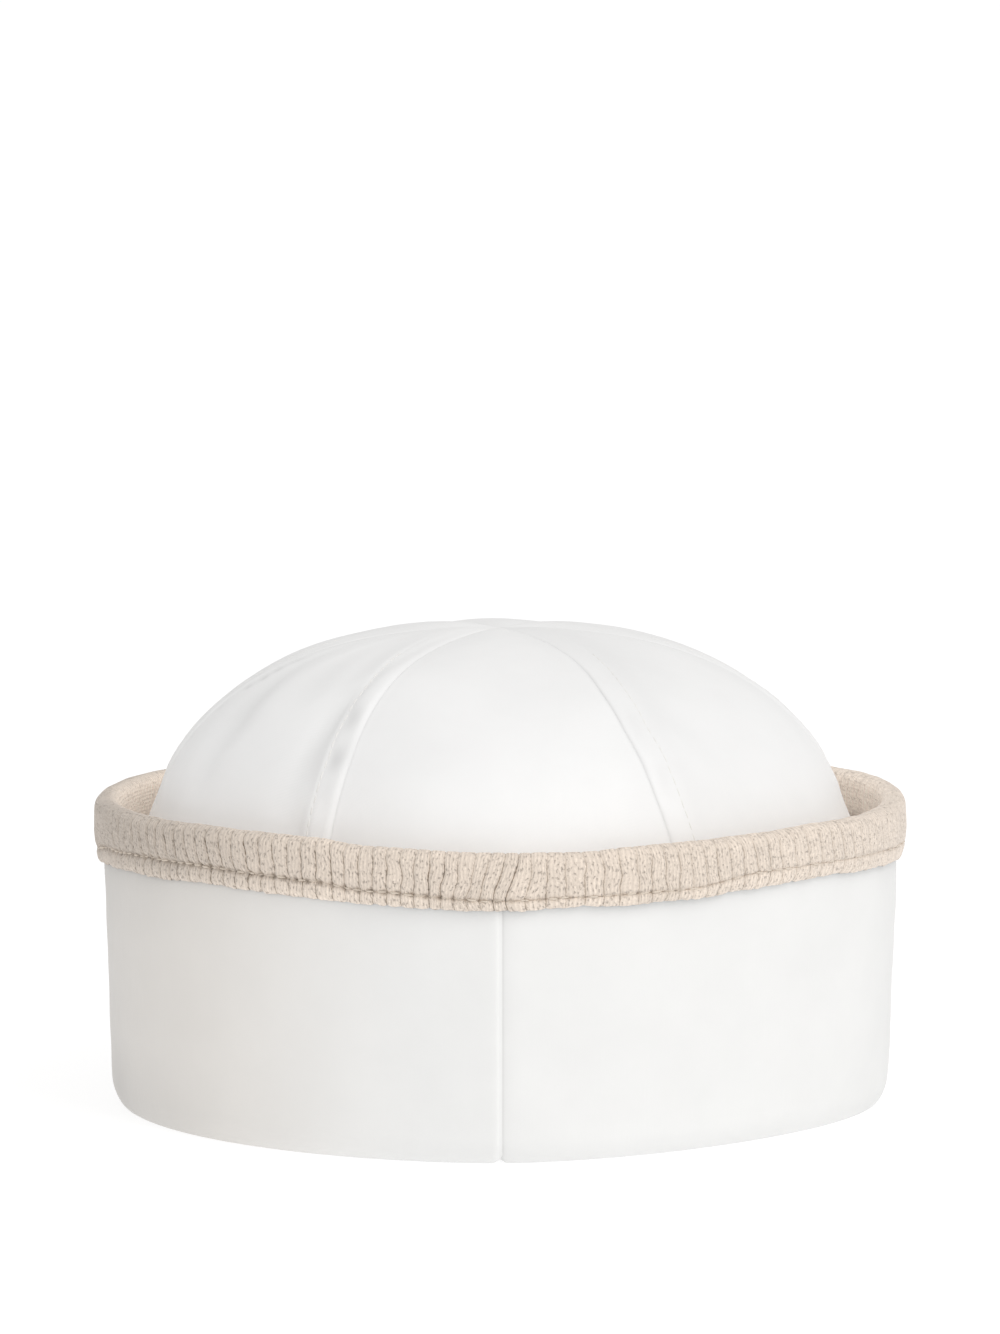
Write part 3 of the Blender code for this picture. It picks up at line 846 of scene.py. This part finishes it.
def cuff_shading(angle, outer, side):
    """The outer face's painted light and shade and its painted warm shade: painted shade makes it greyer and
    warmer towards the left side and under the binding there, and a painted highlight makes it lighter along
    the lapped edge of the back seam, with painted shade darker along the edge under it."""
    distance = np.abs(angle)[None] * (HEAD_WIDTH / 2 + CUFF_RIM_OUT)
    turn = np.degrees(angle)
    left = ease((-turn - 18) / 60) * ease((170 + turn) / 40)
    right = ease((turn - 60) / 25) * ease((170 - turn) / 40)
    below = rim_height(angle) - BINDING_DROP * around(angle, 2) - outer[..., 2]
    foot = 1 - ease(outer[..., 2] / 0.022)
    # Painted shade: greyer towards the left side, at its foot and under the binding, and a little towards the far
    # right
    painted_shading = 1 - (0.175 + 0.06 * bell(below, 0.010) + 0.10 * foot) * left - 0.06 * right
    painted_shading -= 0.05 * ease((-turn - 64) / 16) * left + 0.025 * bell(below, 0.004)
    # Painted warm shade over the left side
    warm_shade = np.broadcast_to(ease((-turn - 8) / 45) * ease((170 + turn) / 40), painted_shading.shape)
    if side < 0:
        # A painted highlight along the left half's lapped edge
        return painted_shading + 0.040 * bell(distance - 0.0006, 0.0007), warm_shade
    # Painted shade beside the seam and along the edge under the lap
    return painted_shading - 0.04 * bell(distance, 0.0030) - 0.10 * bell(distance - 0.0004, 0.0006), warm_shade


class CAP_OT_cuff(bpy.types.Operator):
    """Both halves of the turned-up cuff, lapped at the back seam"""

    bl_idname = "sailor_cap.cuff"
    bl_label = "Cuff"

    def execute(self, context):
        settings = context.scene.cap_cuff
        material = woven_satin("polyester_satin_cuff", settings.satin)
        for name, node_name, side in (("cuff_half_right", "cuff_right", 1), ("cuff_half_left", "cuff_left", -1)):
            share = np.linspace(0, 1, CUFF_COLUMNS + 1)
            # Columns are close together beside the back seam
            spread = 0.08 * share + 0.92 * share**2
            angle = (math.pi * spread)[::side] * side
            outer, inner = cuff_section(angle)
            relief = cuff_relief(angle, outer, side, settings)
            outer = outer + normals_of(outer) * relief[..., None]
            # A small notch under the seam, at the fold
            outer[..., 2] += 0.0009 * bell(np.abs(angle)[None] * 0.1, 0.0011) * (1 - ease(outer[..., 2] / 0.006))
            # The two halves meet a little to the right outside, so that the left one covers the join
            outer[:, [0, -1], 0] = 0.00060 + side * 0.00004
            inner[:, [0, -1], 0] = side * 0.00008
            painted_shading, warm_shade = cuff_shading(angle, outer, side)
            sideways = angle * (HEAD_WIDTH / 2 + CUFF_FOOT_OUT)
            piece = cloth_wall(name, outer, inner, sideways, painted_shading, material)
            # Painted warm shade on the outer face, none on the inner
            paint(piece, "warm_shade", np.concatenate([warm_shade, np.zeros_like(painted_shading)]))
            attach(piece, "root")
            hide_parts(node_name)
        return {"FINISHED"}


# ---- binding

# Places of the columns across a rib, closest at the furrow
RIB_PLACES = np.array([0.0, 0.055, 0.13, 0.27, 0.5, 0.73, 0.87, 0.945])
INNER_LEG_ROWS = 9
OVER_ROWS = 13
OUTER_LEG_ROWS = 17
LIP_ROWS = 8
# The outer leg's wall from the shoulder to the stitches, and the lip's below them: (share down, share of wall)
LEG_WALLS = ((0.0, 1.0), (0.25, 1.08), (0.55, 1.14), (0.82, 1.02), (0.93, 0.84), (1.0, 0.50))
LIP_WALLS = ((0.0, 0.50), (0.12, 0.74), (0.4, 0.88), (0.75, 0.78), (0.92, 0.56), (1.0, 0.36))


def binding_columns():
    """Rib counts of all columns, and the angle of each, from RIB_COUNTS."""
    table = np.array(RIB_COUNTS, float)
    count = (np.arange(int(table[-1, 1]))[:, None] + RIB_PLACES).ravel()
    return count, np.radians(np.interp(count, table[:, 1], table[:, 0]))


def binding_levels(angle):
    """Heights of the rim, the row of stitches and the lower edge."""
    rim = rim_height(angle)
    edge = rim - BINDING_DROP * around(angle, 2)
    return rim, edge + LIP_HEIGHT * around(angle, 3), edge


def binding_section(settings):
    """Rows of the binding's outer face as (share of the slant, height, distance in from the cuff's
    middle line, share of the rib depth), up the inner leg, over the rim in a half round, down the
    outer leg to the stitches, and down the lip under them. The slant is 0 at the rim and 1 at the
    stitches. Heights are functions of the angle."""
    shoulder_drop = BINDING_RADIUS
    hollow = CUFF_WALL / 2 + GAP
    rows = []
    for share in np.linspace(0, 1, INNER_LEG_ROWS + 1)[:-1]:
        drop = BINDING_INNER_DROP + (shoulder_drop - BINDING_INNER_DROP) * share
        body = 0.55 + 0.45 * ease(share * 4)
        rows.append((0.0, lambda a, d=drop: rim_height(a) - d, hollow + BINDING_WALL * body, 0.3 + 0.2 * share))
    for turn in np.radians(np.linspace(180, 0, OVER_ROWS + 1)[:-1]):
        rise = BINDING_RADIUS * (math.sin(turn) - 1)
        slant = 0.05 + 0.25 * (1 - math.sin(turn)) * (turn < math.pi / 2)
        share = 0.5 + 0.25 * (1 - math.cos(turn))
        rows.append((slant, lambda a, r=rise: rim_height(a) + r, -BINDING_RADIUS * math.cos(turn), share))
    for share in np.linspace(0, 1, OUTER_LEG_ROWS + 1) ** 0.85:
        body = np.interp(share, *np.array(LEG_WALLS).T)

        def leg(a, s=share):
            rim, stitch, _ = binding_levels(a)
            return rim - shoulder_drop + (stitch - rim + shoulder_drop) * s

        rows.append((0.30 + 0.70 * share, leg, -hollow - BINDING_WALL * body, 1.0))
    for share in np.linspace(0, 1, LIP_ROWS + 1)[1:]:
        body = np.interp(share, *np.array(LIP_WALLS).T)

        def lip(a, s=share):
            _, stitch, edge = binding_levels(a)
            across = a * HEAD_WIDTH / 2
            wavy = settings.edge_wave * (ripple(across, 0.0, 0.012, 31) + ripple(across, 0.0, 0.0028, 32))
            return stitch + (edge + wavy - stitch) * s

        rows.append((1.0 - 0.20 * share, lip, -hollow - BINDING_WALL * body, 0.55))
    return rows


def binding_lining(angle, outer_edge):
    """Rows of the hidden face round the cuff's top edge: up from the lip's edge, square over the
    cuff's edge, and down to the inner leg's edge."""
    rim, stitch, _ = binding_levels(angle)
    hollow = CUFF_WALL / 2 + GAP
    top = rim - BINDING_WALL
    rows = [(outer_edge, -hollow), (stitch, -hollow), (rim - BINDING_RADIUS, -hollow), (top, -hollow)]
    rows += [(top, 0.0), (top, hollow), (rim - BINDING_RADIUS, hollow), (rim - BINDING_INNER_DROP, hollow)]
    return np.stack([cuff_point(angle, height, CUFF_WALL / 2 + into) for height, into in rows])


def make_binding(settings, material):
    """The binding as one closed ring, and the path of its stitches with its normals. Every furrow is a
    bell-shaped dip in rib counts that follows the ribs' slant, and each stitch pulls a pit into the row
    where it enters the knit."""
    count, base = binding_columns()
    lean = np.radians(table_at(base, RIB_LEANS))
    near = np.abs((count + 0.5) % 1 - 0.5)
    chance = np.random.RandomState(5).rand(RIB_COUNTS[-1][1] + 1)
    vary = 0.72 + 0.4 * chance[np.floor(count + 0.5).astype(int)]
    vary = np.where(np.abs(count - JOIN_RIB) < 0.5, 1.3, vary)
    strength = table_at(base, RIB_STRENGTHS) * vary
    furrow = settings.rib_depth * (bell(near, 0.072) + 0.12 * (1 - 2 * near))
    rows, dips, angles, shares = [], [], [], []
    for slant, height, into, share in binding_section(settings):
        wander = np.radians(0.17) * ripple(count * 0.0036, slant * 0.012, 0.0075, 51)
        angle = base + lean * (slant - 0.45) + wander
        rows.append(cuff_point(angle, height(angle), CUFF_WALL / 2 + into))
        dips.append(furrow * strength * share + 0.00009 * ripple(angle * 0.09, rows[-1][:, 2], 0.010, 77))
        angles.append(angle)
        shares.append(strength * (1.0 if slant > 0.2 else share))
    outer, dips, angles = np.stack(rows), np.stack(dips), np.stack(angles)
    seam_row = INNER_LEG_ROWS + OVER_ROWS + OUTER_LEG_ROWS
    path = outer[seam_row]
    steps = np.linalg.norm(np.diff(np.vstack([path, path[:1]]), axis=0), axis=1)
    run = np.concatenate([[0], np.cumsum(steps)])
    number = round(run[-1] / settings.stitch_length)
    place = run[:-1] / run[-1] * number
    pit = bell(np.abs((place + 0.5) % 1 - 0.5) * settings.stitch_length, 0.00060)
    outside = np.arange(len(outer))[:, None] >= INNER_LEG_ROWS + OVER_ROWS
    above = np.where(outside, outer[..., 2] - path[:, 2], 1.0)
    pits = pit * bell(above, 0.00075)
    shown = table_at(base, STITCH_SHADES)
    dips += 0.00045 * pits * shown - 0.00062 * (1 - shown) * bell(above, 0.0012)
    outer = outer - normals_of(outer, closed_round=True) * dips[..., None]
    lining = binding_lining(angles[-1], outer[-1, :, 2])
    rows = np.concatenate([outer, lining])
    down = np.concatenate([lengths_down(outer), np.zeros(lining.shape[:2])])
    across = np.append(count, RIB_COUNTS[-1][1])
    uv = np.stack(np.broadcast_arrays(across, -np.hstack([down, down[:, :1]])), -1)
    piece = wall("cuff_binding_rib", rows, uv, material, 70, round_it=True)
    # Painted light makes the face turned in lighter, painted shade makes the left side greyer, and painted light
    # makes the lip lighter towards its edge
    left_shade = table_at(base, KNIT_LEFT_SHADE)
    inside = 1 - ease((np.arange(len(outer)) - INNER_LEG_ROWS) / OVER_ROWS * 1.6)[:, None]
    painted_shading = 1 + 0.34 * inside - 0.31 * (1 - inside) * left_shade
    painted_shading += 0.06 * ease(-above / 0.0012) + 0.10 * ease((-above - 0.0018) / 0.0022)
    # Painted shade in the stitch pits along the row, strongest on the left
    pit_shade = bell(above, 0.00062) * (0.24 + 0.76 * pit) * shown
    # Flecks show most on the left, and hardly at all on the face turned in
    flecks = (0.08 + 0.32 * shown) * (1 - 0.8 * inside)
    for name, values in (
        ("rib_strength", np.stack(shares)), ("stitch_pit_shade", pit_shade), ("painted_shading", painted_shading), ("fleck_share", flecks),
    ):
        paint(piece, name, np.concatenate([values, np.zeros(lining.shape[:2])]))
    closed = np.vstack([outer[seam_row], outer[seam_row, :1]])
    normal = normals_of(outer, closed_round=True)[seam_row]
    return piece, closed, np.vstack([normal, normal[:1]])


class CAP_OT_binding(bpy.types.Operator):
    """The ribbed knit binding over the cuff's top edge, and its row of stitches"""

    bl_idname = "sailor_cap.binding"
    bl_label = "Binding"

    def execute(self, context):
        settings = context.scene.cap_binding
        material = ribbed_cotton("cotton_rib_knit_beige", settings.knit, settings.furrow)
        piece, path, normal = make_binding(settings, material)
        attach(piece, "root")
        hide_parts("cuff_binding")
        thread = spun_thread("polyester_thread_beige", settings.thread)
        length = settings.stitch_length
        row = stitches("binding_stitches", path, normal, length, BINDING_THREAD, thread, 0.82, -0.00012)
        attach(row, "root")
        return {"FINISHED"}


# ---- stage

FLOOR_RADIUS = 40.0
CAMERA_PLACE = (0.0, -2.0, 0.317)
CAMERA_PITCH = 5.99  # degrees below level
CAMERA_LENS = 220.37  # on a sensor whose 36 mm span the frame's 1334 rows


def studio_floor(colour):
    """Matt white studio paper, lit so that it all but burns out: bright, plain, with a faint contact shade."""
    paper = [0.30 * part for part in colour]
    material, tree, shader = cloth("studio_paper_white", Base_Color=(*paper, 1), Roughness=0.9, IOR=1.45)
    grain = node(tree, "TexNoise", Scale=40.0, Detail=2.0)
    bump = node(tree, "Bump", Strength=0.02, Distance=0.0002, Height=grain)
    fill(tree, shader, Emission_Color=(*colour, 1), Emission_Strength=0.76, Normal=bump)
    return material


def studio_world(strength):
    """White surround, a little brighter towards the right, the front and the top."""
    world = bpy.data.worlds.new("studio_white")
    world.use_nodes = True
    tree = world.node_tree
    lean = node(tree, "VectorMath", {"operation": "DOT_PRODUCT"}, _0=node(tree, "TexCoord"), _1=(0.09, -0.16, 0.22))
    level = node(tree, "Math", {"operation": "MULTIPLY_ADD"}, _0=lean, _1=strength, _2=strength)
    fill(tree, tree.nodes["Background"], Color=(1.0, 0.995, 0.988, 1), Strength=level)
    return world


def add_light(name, place, size, power, colour):
    """A square soft light that faces the middle of the cap."""
    light = bpy.data.lights.new(name, "AREA")
    light.shape, light.size, light.energy, light.color = "SQUARE", size, power, colour
    obj = bpy.data.objects.new(name, light)
    obj.location = place
    aim = Vector((0.0, 0.0, 0.06)) - Vector(place)
    obj.rotation_euler = aim.to_track_quat("-Z", "Y").to_euler()
    bpy.context.scene.collection.objects.link(obj)


class CAP_OT_stage(bpy.types.Operator):
    """Pale floor, white surround, soft light from the right front, and the camera"""

    bl_idname = "sailor_cap.stage"
    bl_label = "Stage"

    def execute(self, context):
        settings = context.scene.cap_stage
        turn = np.linspace(0, 2 * np.pi, 97)[:-1]
        edge = FLOOR_RADIUS * np.stack([np.cos(turn), np.sin(turn), np.zeros(96)], -1)
        mesh = bpy.data.meshes.new("studio_floor")
        mesh.from_pydata(edge.tolist(), [], [list(range(96))])
        mesh.materials.append(studio_floor(settings.floor))
        floor = bpy.data.objects.new("studio_floor", mesh)
        context.scene.collection.objects.link(floor)
        context.scene.world = studio_world(settings.surround)
        add_light("key", (1.23, -1.40, 2.40), 1.3, settings.key, (1.0, 0.995, 0.985))
        data = bpy.data.cameras.new("camera")
        data.lens, data.sensor_width, data.sensor_fit = CAMERA_LENS, 36.0, "AUTO"
        data.clip_end = 200.0
        camera = bpy.data.objects.new("camera", data)
        camera.location = CAMERA_PLACE
        camera.rotation_euler = (math.radians(90 - CAMERA_PITCH), 0, 0)
        context.scene.collection.objects.link(camera)
        context.scene.camera = camera
        context.scene.view_settings.view_transform = "Standard"
        return {"FINISHED"}


# ---- add-on


class CAP_PT_panel(bpy.types.Panel):
    """Sizes, colours and the steps that build the cap"""

    bl_idname = "CAP_PT_panel"
    bl_label = "Sailor Cap"
    bl_space_type = "VIEW_3D"
    bl_region_type = "UI"
    bl_category = "Sailor Cap"

    def draw(self, context):
        for operator, group, _ in STEPS:
            box = self.layout.box()
            settings = getattr(context.scene, group)
            for name in settings.__annotations__:
                box.prop(settings, name)
            box.operator(operator.bl_idname)


STEPS = (
    (CAP_OT_crown, "cap_crown", CapCrownSettings),
    (CAP_OT_cuff, "cap_cuff", CapCuffSettings),
    (CAP_OT_binding, "cap_binding", CapBindingSettings),
    (CAP_OT_stage, "cap_stage", CapStageSettings),
)


def register():
    for operator, name, group in STEPS:
        bpy.utils.register_class(group)
        setattr(bpy.types.Scene, name, bpy.props.PointerProperty(type=group))
        bpy.utils.register_class(operator)
    bpy.utils.register_class(CAP_PT_panel)


def unregister():
    bpy.utils.unregister_class(CAP_PT_panel)
    for operator, name, group in reversed(STEPS):
        bpy.utils.unregister_class(operator)
        delattr(bpy.types.Scene, name)
        bpy.utils.unregister_class(group)


def main():
    register()
    bpy.ops.sailor_cap.crown()
    bpy.ops.sailor_cap.cuff()
    bpy.ops.sailor_cap.binding()
    bpy.ops.sailor_cap.stage()


if __name__ == "__main__":
    main()
